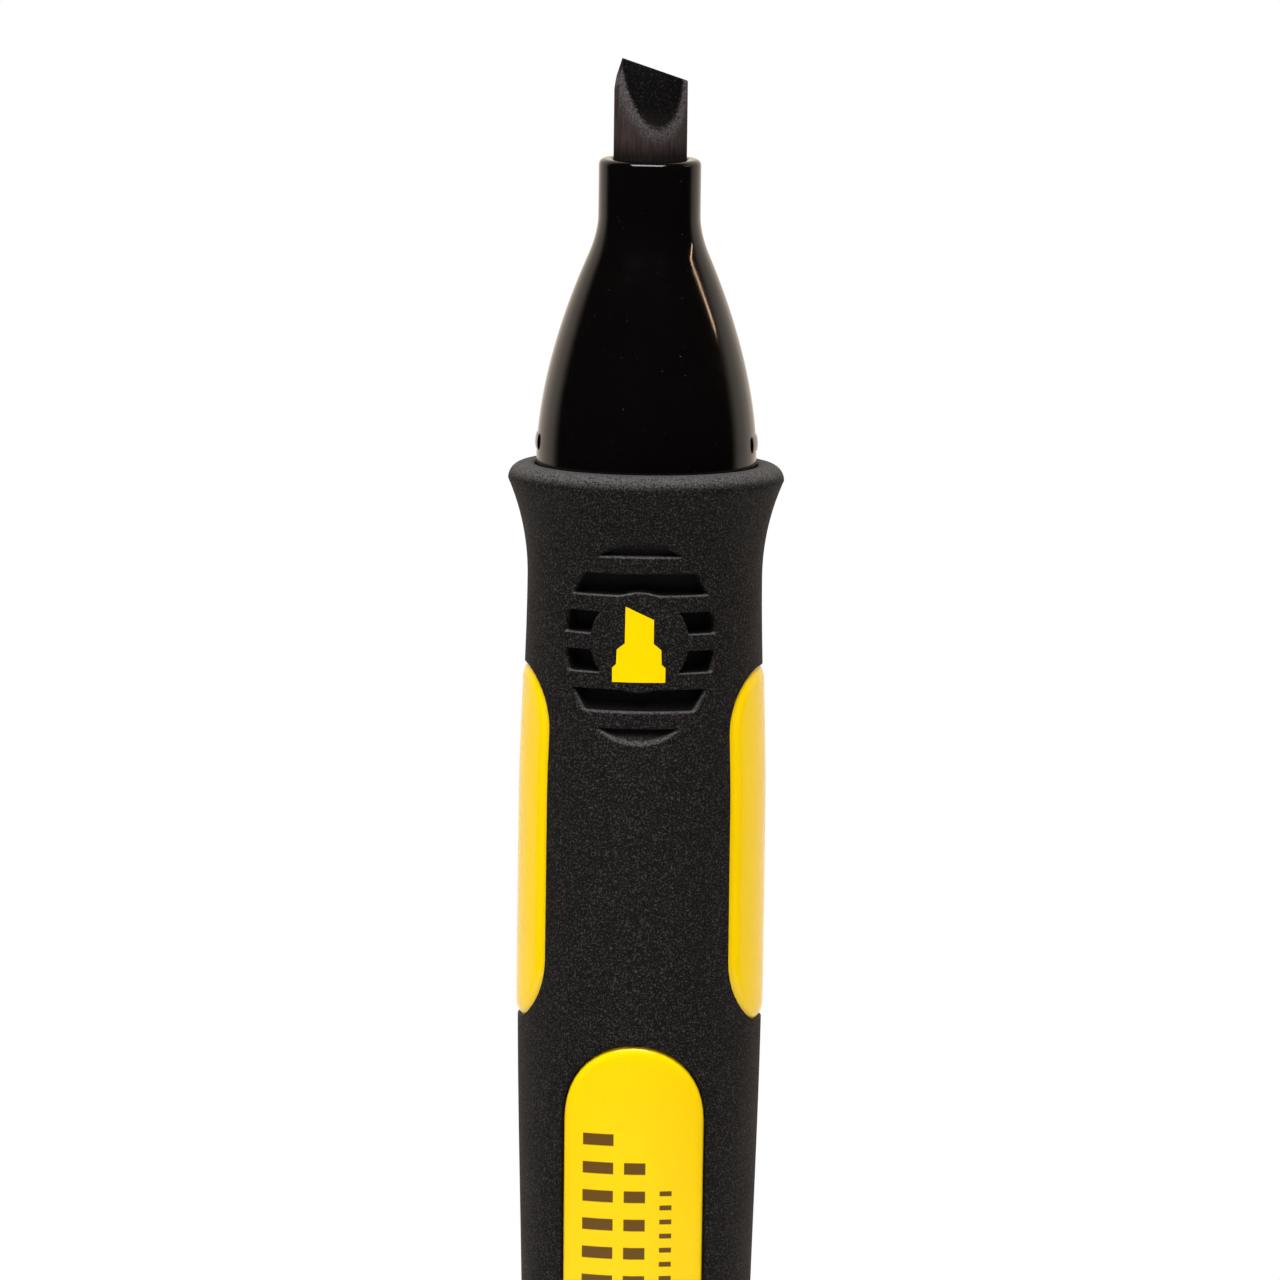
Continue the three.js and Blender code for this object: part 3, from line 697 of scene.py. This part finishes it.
def corner(radius, z, round_off, start, end, step=15):
    """Points on a rounded edge, its angles in degrees from straight out, counter-clockwise."""
    turn = np.radians(spread(start, end, step))
    return np.stack([radius + round_off * np.cos(turn), z + round_off * np.sin(turn)], -1).tolist()


def beaded(profile, bead_z, columns=96):
    """Rings for a profile with a snap bead on the left and on the right."""
    ends = []
    for side in (-90, 90):
        for end in (-1, 1):
            middle = math.radians(side) + end * bead_half_angle
            ends += [middle + off for off in (-0.02, -bead_run / 2, bead_run / 2, 0.02)]
    even = np.linspace(-math.pi, math.pi, columns, endpoint=False)
    angles = np.unique(np.concatenate([even, ends]))
    from_side = np.abs(np.abs(angles) - math.pi / 2)
    along = smooth((bead_half_angle - from_side) / bead_run + 0.5)
    rings = []
    for radius, z in profile:
        off = (z - bead_z) / (bead_height / 2)
        bead = bead_proud * math.sqrt(max(0, 1 - off * off)) if radius > beaded_from else 0
        rings.append(circle(radius + bead * along, z, angles))
    return np.array(rings)


def gloss_black(name):
    """Glossy black plastic with faint swirl marks from handling and a trace of dust."""
    finish = Finish(name, Specular_IOR_Level=0.42)
    smear = finish.noise(0.007, 3)
    dust = finish.noise(0.00013, 0).ramp(0.86, 0.90)
    black = finish.mix(smear, (0.0012, 0.0009, 0.0010, 1), (0.0024, 0.0018, 0.0018, 1))
    finish.feed("Base Color", finish.mix(dust * 0.5, black, (0.20, 0.18, 0.16, 1)))
    finish.feed("Roughness", 0.07 + 0.08 * smear.ramp(0.35, 0.75) + 0.3 * dust)
    finish.bump(finish.noise(0.0011, 2), 0.0000025)
    return finish


nose_gloss = gloss_black("nose_gloss")
cone_foot = collar_z + nose_base
fillet_top = nose_top - neck_length
cone_top = fillet_top - neck_fillet
cone_heights = spread(cone_foot, cone_top, 0.0005)
fall = (nose_radius - neck_radius - fillet_reach) / (cone_top - cone_foot) ** nose_bulge
cone_radii = nose_radius - fall * (cone_heights - cone_foot) ** nose_bulge
slope = fall * nose_bulge * (cone_top - cone_foot) ** (nose_bulge - 1)
sweep = []
knee_z = cone_top + fillet_reach / slope
for t in spread(0, 1, 0.07)[1:]:
    radius = (1 - t) ** 2 * (neck_radius + fillet_reach) + (1 - (1 - t) ** 2) * neck_radius
    z = (1 - t) ** 2 * cone_top + 2 * t * (1 - t) * knee_z + t * t * fillet_top
    sweep.append((radius, z))
bead_z = collar_z + bead_setback
bead_rows = [bead_z + bead_height / 2 * math.sin(math.radians(a)) for a in bead_angles]
cone = np.array(sorted(
    [(z, r) for r, z in zip(cone_radii, cone_heights)]
    + [(z, nose_radius - fall * max(z - cone_foot, 0) ** nose_bulge) for z in bead_rows]
))[:, ::-1].tolist()
nose_profile = [
    (nose_radius - nose_foot_wall, seat_z),
    (nose_radius, seat_z),
    (nose_radius, collar_z - nose_foot_edge),
    *cone,
    *sweep,
    (neck_radius, nose_top - 0.002),
    *corner(neck_radius - neck_round, nose_top - neck_round, neck_round, 0, 90),
    *corner(neck_bore + mouth_round, nose_top - mouth_round, mouth_round, 90, 180, 30),
    (neck_bore, nose_top - neck_bore_depth),
    (nose_radius - nose_wall, collar_z + 0.001),
    (nose_radius - nose_foot_wall, seat_z),
]
nose = surface("glossy_nose", beaded(nose_profile, bead_z), nose_gloss, "marker", sharp=38)
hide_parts("nose")

# ---------------------------------------------------------------------------------------------
# Nib. A rod of bonded polyester fibre, ground to a chisel: the writing edge falls from left to
# right between two broad facets. The fibres run along the rod and fray a little at the edges.
# ---------------------------------------------------------------------------------------------

nib_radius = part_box("nib")[1].y
nib_corner = 0.0007
nib_slant = math.radians(18.9)
nib_wedge = math.radians(25.0)
nib_turn = Matrix.Rotation(math.radians(9.0), 3, "Z")
nib_corner_lean = math.radians(76)
nib_edge_half = 0.0006
nib_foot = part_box("nib")[0].z
nib_tail_length = 0.003
nib_tail_share = 0.3  # of the rod's radius, at the end of its pointed tail
nib_columns = 72
cut_margin = 0.001

felt = Finish("nib_fibre", Specular_IOR_Level=0.08)
fibre = felt.noise(0.00022, 3, 0.65, felt.stretched(1, 1, 0.09))
fuzz = felt.noise(0.00018, 3, 0.7)
upward = felt.node("SeparateXYZ", {}, {0: felt.node("NewGeometry", output="Normal")}, "Z")
facing_up = upward.ramp(0.12, 0.25)
from_axis = felt.node("VectorMath", {"operation": "LENGTH"}, {0: felt.stretched(1, 1, 0)}, "Value")
rim = (from_axis / nib_radius + 0.12 * fuzz).ramp(0.90, 1.00) * facing_up
# Painted shade: the rod's side is darker just above the neck, where it goes into the nose.
near_neck = 1 - felt.axis("Z").ramp(nose_top, nose_top + 0.0022)
felt_side = felt.mix(fibre.ramp(0.3, 0.7), (0.022, 0.0150, 0.0140, 1), (0.048, 0.0335, 0.0315, 1))
shaded = felt.mix(near_neck * 0.75, felt_side, (0.0035, 0.0026, 0.0026, 1))
felt_face = felt.mix(fuzz.ramp(0.5, 0.8), (0.0010, 0.0008, 0.0009, 1), (0.0240, 0.0195, 0.0200, 1))
fuzzy_rim = felt.mix(fuzz.ramp(0.3, 0.7), (0.030, 0.025, 0.025, 1), (0.105, 0.092, 0.092, 1))
faced = felt.mix(facing_up, shaded, felt_face)
felt.feed("Base Color", felt.mix(rim, faced, fuzzy_rim))
felt.feed("Roughness", 0.82 + 0.15 * fuzz)
felt.bump(fibre * (1 - facing_up) + fuzz * 0.6, 0.00006)

rod_angles = np.linspace(-math.pi, math.pi, nib_columns, endpoint=False)
rod_profile = [
    (nib_radius * nib_tail_share, nib_foot),
    (nib_radius, nib_foot + nib_tail_length),
    (nib_radius, nose_top),
    (nib_radius, tip + cut_margin),
]
rod = np.array([circle(radius, z, rod_angles) for radius, z in rod_profile])
nib = surface("chisel_nib", rod, felt, "marker", caps=(True, True))
shape = bmesh.new()
shape.from_mesh(nib.data)
edge_start = Vector((nib_corner - nib_radius, 0, tip))
# Each cut: side of the writing edge, lean to that side, and slant along the edge.
nib_cuts = [
    (0, 0, nib_slant),
    (-1, 1, nib_slant),
    (1, -1, nib_slant),
    (0, 0, -nib_corner_lean),
]
for side, lean, slant in nib_cuts:
    slanted = nib_turn @ Matrix.Rotation(slant, 3, "Y")
    leaning = slanted @ Matrix.Rotation(lean * (math.pi / 2 - nib_wedge), 3, "X")
    cut = bmesh.ops.bisect_plane(
        shape,
        geom=shape.verts[:] + shape.edges[:] + shape.faces[:],
        clear_outer=True,
        plane_co=nib_turn @ (edge_start + Vector((0, side * nib_edge_half, 0))),
        plane_no=leaning @ Vector((0, 0, 1)),
    )
    rim_edges = [e for e in cut["geom_cut"] if isinstance(e, bmesh.types.BMEdge)]
    bmesh.ops.contextual_create(shape, geom=rim_edges)
shape.to_mesh(nib.data)
shape.free()
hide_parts("nib")

# ---------------------------------------------------------------------------------------------
# Inside the marker. The hard barrel, the fibre core that holds the ink and its film sleeve keep
# their plain shapes, because the grip, the nose and the plug close them in.
# ---------------------------------------------------------------------------------------------

barrel_plastic = Finish("barrel_plastic", Specular_IOR_Level=0.4)
flow = barrel_plastic.noise(0.005, 2, 0.5, barrel_plastic.stretched(1, 1, 0.2))
barrel_black = barrel_plastic.mix(flow, (0.008, 0.008, 0.008, 1), (0.014, 0.014, 0.014, 1))
barrel_plastic.feed("Base Color", barrel_black)
barrel_plastic.feed("Roughness", 0.35 + 0.2 * flow)

ink_fibre = Finish("ink_fibre", Specular_IOR_Level=0.2, Sheen_Weight=0.3)
strands = ink_fibre.noise(0.0003, 3, 0.6, ink_fibre.stretched(1, 1, 0.04))
ink_black = ink_fibre.mix(strands, (0.004, 0.004, 0.006, 1), (0.02, 0.02, 0.026, 1))
ink_fibre.feed("Base Color", ink_black)
ink_fibre.feed("Roughness", 0.8 + 0.15 * strands)
ink_fibre.bump(strands, 0.00005)

film = Finish("clear_film", Specular_IOR_Level=0.5)
haze = film.noise(0.004, 2)
film.feed("Base Color", film.mix(haze, (0.62, 0.63, 0.65, 1), (0.78, 0.79, 0.80, 1)))
film.feed("Roughness", 0.12 + 0.15 * haze)

hidden = [("barrel", barrel_plastic), ("ink_reservoir", ink_fibre), ("reservoir_film", film)]
for node, finish in hidden:
    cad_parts[node].data.materials.clear()
    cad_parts[node].data.materials.append(finish.material)

# ---------------------------------------------------------------------------------------------
# Tail plug. A glossy black cup pressed into the end of the barrel, as thick as the nose's base
# and with the same snap beads, so that the cap fits both ends.
# ---------------------------------------------------------------------------------------------

plug_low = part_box("tail_plug")[0].z
plug_round = 0.0008
plug_wall = 0.0013
plug_spigot = 0.00655
spigot_length = 0.008
plug_floor = 0.0016
plug_gap = 0.0001  # between its shoulder and the grip
shoulder_round = 0.00015
mark_radius = 0.0035  # the shallow round mark in the middle of its end
mark_depth = 0.0004
mark_round = 0.0002
mark_edge = 0.0003
centre_ring = 0.0002  # radius of the small flat that closes a round piece at its axis
plug_profile = [
    (centre_ring, plug_low + mark_depth),
    (mark_radius, plug_low + mark_depth),
    *corner(mark_radius, plug_low + mark_depth - mark_round, mark_round, 90, 0, 45),
    (mark_radius + mark_edge, plug_low),
    *corner(nose_radius - plug_round, plug_low + plug_round, plug_round, -90, 0),
    *[(nose_radius, tail_z - bead_setback + (z - bead_z)) for z in bead_rows],
    *corner(
        nose_radius - shoulder_round, tail_z - plug_gap - shoulder_round, shoulder_round, 0, 90, 30,
    ),
    (plug_spigot, tail_z - plug_gap),
    (plug_spigot, tail_z + spigot_length),
    (plug_spigot - plug_wall, tail_z + spigot_length),
    (plug_spigot - plug_wall, plug_low + plug_floor),
    (centre_ring, plug_low + plug_floor),
]
plug_rings = beaded(plug_profile, tail_z - bead_setback)
plug = surface("glossy_tail_plug", plug_rings, nose_gloss, "marker", caps=(True, True), sharp=38)
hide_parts("tail_plug")

# ---------------------------------------------------------------------------------------------
# Cap shell. Glossy black, a little slimmer towards its closed end. Three slots let air through
# beside the liner, as on any safe cap, and a socket near the end takes the clip's foot.
# ---------------------------------------------------------------------------------------------

cap_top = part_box("cap_shell")[1].z
cap_mouth_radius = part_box("cap_shell")[1].y
cap_taper = 0.0012
cap_bore = cap_mouth_radius - 0.00165
cap_bore_end = plug_low - 0.002
cap_end_round = 0.0016
cap_floor = 0.0030
cap_lip = 0.0005
disc_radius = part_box("cap_end_disc")[1].y
disc_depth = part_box("cap_end_disc")[1].z
disc_gap = 0.00015
disc_edge = 0.0003  # how far the rim of its recess is broken
liner_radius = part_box("cap_liner")[1].y
band_low, band_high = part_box("cap_band")[0].z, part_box("cap_band")[1].z
band_depth = 0.00075
band_gap = 0.00015
groove_edge = 0.0001
vent_width = 0.0011
vent_length = 0.0040
vent_radius = liner_radius + 1.5 * vent_width


def cap_radius(z):
    return cap_mouth_radius - cap_taper * (1 - smooth(z / cap_top))


def cap_wall(low, high):
    """Points up the outside of the shell."""
    return [(float(cap_radius(z)), z) for z in spread(low, high, 0.0015)]


cap_end_radius = cap_mouth_radius - cap_taper
recess_radius = disc_radius + disc_gap
recess_top = disc_depth + 0.0001
groove_low = band_low - band_gap
groove_high = band_high + band_gap
low_radius = float(cap_radius(groove_low))
high_radius = float(cap_radius(groove_high))
shell_profile = [
    (centre_ring, recess_top),
    (recess_radius, recess_top),
    (recess_radius, disc_gap),
    (disc_radius + disc_edge, 0),
    *corner(cap_end_radius - cap_end_round, cap_end_round, cap_end_round, -90, 0, 9),
    *cap_wall(cap_end_round, groove_low - groove_edge)[1:],
    (low_radius - groove_edge, groove_low),
    (low_radius - band_depth, groove_low),
    (high_radius - band_depth, groove_high),
    (high_radius - groove_edge, groove_high),
    *cap_wall(groove_high + groove_edge, cap_top - cap_lip)[:-1],
    *corner(cap_mouth_radius - cap_lip, cap_top - cap_lip, cap_lip, 0, 90),
    *corner(cap_bore + cap_lip, cap_top - cap_lip, cap_lip, 90, 180),
    (cap_bore, cap_bore_end),
    (vent_radius + vent_width / 2, cap_floor),
    (centre_ring, cap_floor),
]
cap_angles = np.linspace(-math.pi, math.pi, 112, endpoint=False)


def turned(name, profile, finish, body, caps=(False, False), sharp=38):
    """A round piece from its profile, as (radius, height) points."""
    rings = [circle(radius, z, cap_angles) for radius, z in profile]
    return surface(name, np.array(rings), finish, body, caps=caps, sharp=sharp)


def slot_cutter(turn):
    """A slot with round ends that runs round the floor of the cap at one of its three places."""
    half = vent_length / 2 / vent_radius
    round_off = vent_width / 2
    margin = 0.002
    radii = []
    angles = []
    for end, start in ((half, 0), (-half, 180)):
        for a in np.radians(spread(start, start + 180, 20)):
            radii.append(vent_radius + round_off * math.cos(a))
            angles.append(end + round_off * math.sin(a) / vent_radius + turn)
    rings = [circle(radii, z, angles) for z in (-margin, margin + cap_floor)]
    return surface("cutter", np.array(rings), cap_gloss, "cap", caps=(True, True))


cap_gloss = gloss_black("cap_gloss")
shell = turned("glossy_cap_shell", shell_profile, cap_gloss, "cap", caps=(True, True))
clip_low, clip_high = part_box("pocket_clip")
foot_gap = 0.00035
clip_root_low = clip_low.z
clip_root_height = 0.0040
socket_depth = 0.00165
root_z = clip_root_low + clip_root_height / 2
root_radius = float(cap_radius(root_z))
bpy.ops.mesh.primitive_cube_add(size=1, location=(0, -root_radius, root_z))
socket = bpy.context.object
socket.scale = (
    clip_high.x - clip_low.x + 2 * foot_gap,
    2 * socket_depth,
    clip_root_height + 2 * foot_gap,
)
vents = [slot_cutter(math.radians(turn)) for turn in (60, 180, 300)]
cut_away(shell, vents + [socket])
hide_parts("cap_shell")

# ---------------------------------------------------------------------------------------------
# Cap liner. A soft, milky cup snapped over the floor of the cap. Its rim seals on the neck of
# the nose, so that the nib doesn't dry out.
# ---------------------------------------------------------------------------------------------

liner_low, liner_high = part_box("cap_liner")[0].z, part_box("cap_liner")[1].z
liner_bore = liner_radius - 0.0012
liner_floor = 0.0015
liner_foot_round = 0.0003
liner_rim_round = 0.0004
liner_mouth_round = 0.0003
milky = Finish(
    "liner_milky", Specular_IOR_Level=0.4, Subsurface_Weight=0.15, Subsurface_Scale=0.001,
)
clouding = milky.noise(0.003, 2)
milky.feed("Base Color", milky.mix(clouding, (0.60, 0.57, 0.50, 1), (0.74, 0.71, 0.64, 1)))
milky.feed("Roughness", 0.32 + 0.15 * clouding)
liner = turned("milky_cap_liner", [
    (centre_ring, liner_low),
    *corner(
        liner_radius - liner_foot_round, liner_low + liner_foot_round, liner_foot_round, -90, 0, 30,
    ),
    (liner_radius, liner_high - 1.5 * liner_rim_round),
    *corner(
        liner_radius - liner_rim_round, liner_high - liner_rim_round, liner_rim_round, 0, 90, 30,
    ),
    *corner(
        liner_bore + liner_mouth_round, liner_high - liner_mouth_round, liner_mouth_round, 90, 180, 30,
    ),
    (liner_bore, liner_low + liner_floor),
    (centre_ring, liner_low + liner_floor),
], milky, "cap", caps=(True, True))
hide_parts("cap_liner")

# ---------------------------------------------------------------------------------------------
# Cap band. A ring of the same black rubber, stretched into a groove of the shell, with rounded
# ribs to pull the cap by.
# ---------------------------------------------------------------------------------------------

band_ribs = 5
band_proud = 0.00035
band_edge = 0.00025
band_step = 0.00028
band_seat = 0.00006  # how far its inside stays off the bottom of the groove
band_profile = []
for z in spread(band_low, band_high, band_step):
    wave = math.cos(2 * math.pi * band_ribs * (z - band_low) / (band_high - band_low))
    near_edge = min(z - band_low, band_high - z)
    rounded = band_edge * (1 - min(near_edge / band_edge, 1)) ** 2
    band_profile.append((float(cap_radius(z)) + band_proud * (0.4 - 0.6 * wave) - rounded, z))
for z in (band_high, band_low):
    band_profile.append((float(cap_radius(z)) - band_depth + band_seat, z))
band_profile.append(band_profile[0])
band = turned("rubber_cap_band", band_profile, grip_rubber, "cap")
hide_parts("cap_band")

# ---------------------------------------------------------------------------------------------
# Cap end disc. A yellow disc pressed into the end of the cap shows the family colour when the
# markers stand in a pot.
# ---------------------------------------------------------------------------------------------

disc_yellow = yellow_plastic("disc_yellow")
disc_round = 0.0002
# A fine groove runs round its face: shares of its radius, and the depths there.
disc_groove = [(0.80, 0), (0.82, 0.0001), (0.86, 0.0001), (0.88, 0)]
disc = turned("yellow_end_disc", [
    (centre_ring, 0),
    *[(disc_radius * share, depth) for share, depth in disc_groove],
    *corner(disc_radius - disc_round, disc_round, disc_round, -90, 0, 30),
    (disc_radius, disc_depth),
    (centre_ring, disc_depth),
], disc_yellow, "cap", caps=(True, True))
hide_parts("cap_end_disc")

# ---------------------------------------------------------------------------------------------
# Pocket clip. A springy arm of yellow plastic with a foot snapped into the cap, a bump that
# grips the cloth and a lifted end.
# ---------------------------------------------------------------------------------------------

clip_thickness = 0.0014
clip_bump = 0.00105
clip_bump_height = 0.0060
clip_heel = 0.0018
clip_inner_heel = 0.0012
clip_flare = 0.0030
clip_lift = 0.0007
clip_end_thickness = 0.0011
clip_round = 0.0004
foot_depth = 0.0013
arm_outside = -clip_low.y - clip_lift
arm_inside = arm_outside - clip_thickness
clip_tip = clip_high.z
root_top = clip_root_low + clip_root_height
foot_y = root_radius - foot_depth


def bend(start, knee, end, count=7):
    """Points on a smooth bend from start to end, drawn towards its knee."""
    t = np.linspace(0, 1, count)[1:, None]
    start, knee, end = np.array(start), np.array(knee), np.array(end)
    return ((1 - t) ** 2 * start + 2 * t * (1 - t) * knee + t * t * end).tolist()


bump_y = arm_inside - clip_bump
heel = [
    (arm_outside - clip_heel, clip_root_low),
    (arm_outside, clip_root_low),
    (arm_outside, clip_root_low + clip_heel),
]
turn_out = [
    (arm_outside, clip_tip - clip_flare),
    (arm_outside, clip_tip - clip_flare / 3),
    (arm_outside + clip_lift, clip_tip),
]
lead_in = [
    (arm_outside + clip_lift - clip_end_thickness, clip_tip),
    (bump_y, clip_tip - clip_bump_height / 4),
    (bump_y, clip_tip - clip_bump_height / 2),
]
lead_out = [
    (bump_y, clip_tip - clip_bump_height / 2),
    (bump_y, clip_tip - clip_bump_height * 0.75),
    (arm_inside, clip_tip - clip_bump_height),
]
inner_heel = [
    (arm_inside, root_top + clip_inner_heel),
    (arm_inside, root_top),
    (arm_inside - clip_inner_heel, root_top),
]
clip_outline = [(foot_y, clip_root_low)]
for start, knee, end in (heel, turn_out, lead_in, lead_out, inner_heel):
    # Two bends that share an end meet in one point.
    if tuple(clip_outline[-1]) != start:
        clip_outline.append(start)
    clip_outline += bend(start, knee, end)
clip_outline.append((foot_y, root_top))
clip_y, clip_z = np.array(clip_outline).T
half_width = clip_high.x
clip_sides = np.stack([
    np.stack([np.full(len(clip_y), x), -clip_y, clip_z], -1) for x in (half_width, -half_width)
])
clip_yellow = yellow_plastic("clip_yellow")
clip = surface("yellow_pocket_clip", clip_sides, clip_yellow, "clip", caps=(True, True))
softened = clip.modifiers.new("round", "BEVEL")
softened.width = clip_round
softened.segments = 4
softened.limit_method = "ANGLE"
softened.angle_limit = math.radians(50)
apply_modifiers(clip, 35)
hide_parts("pocket_clip")
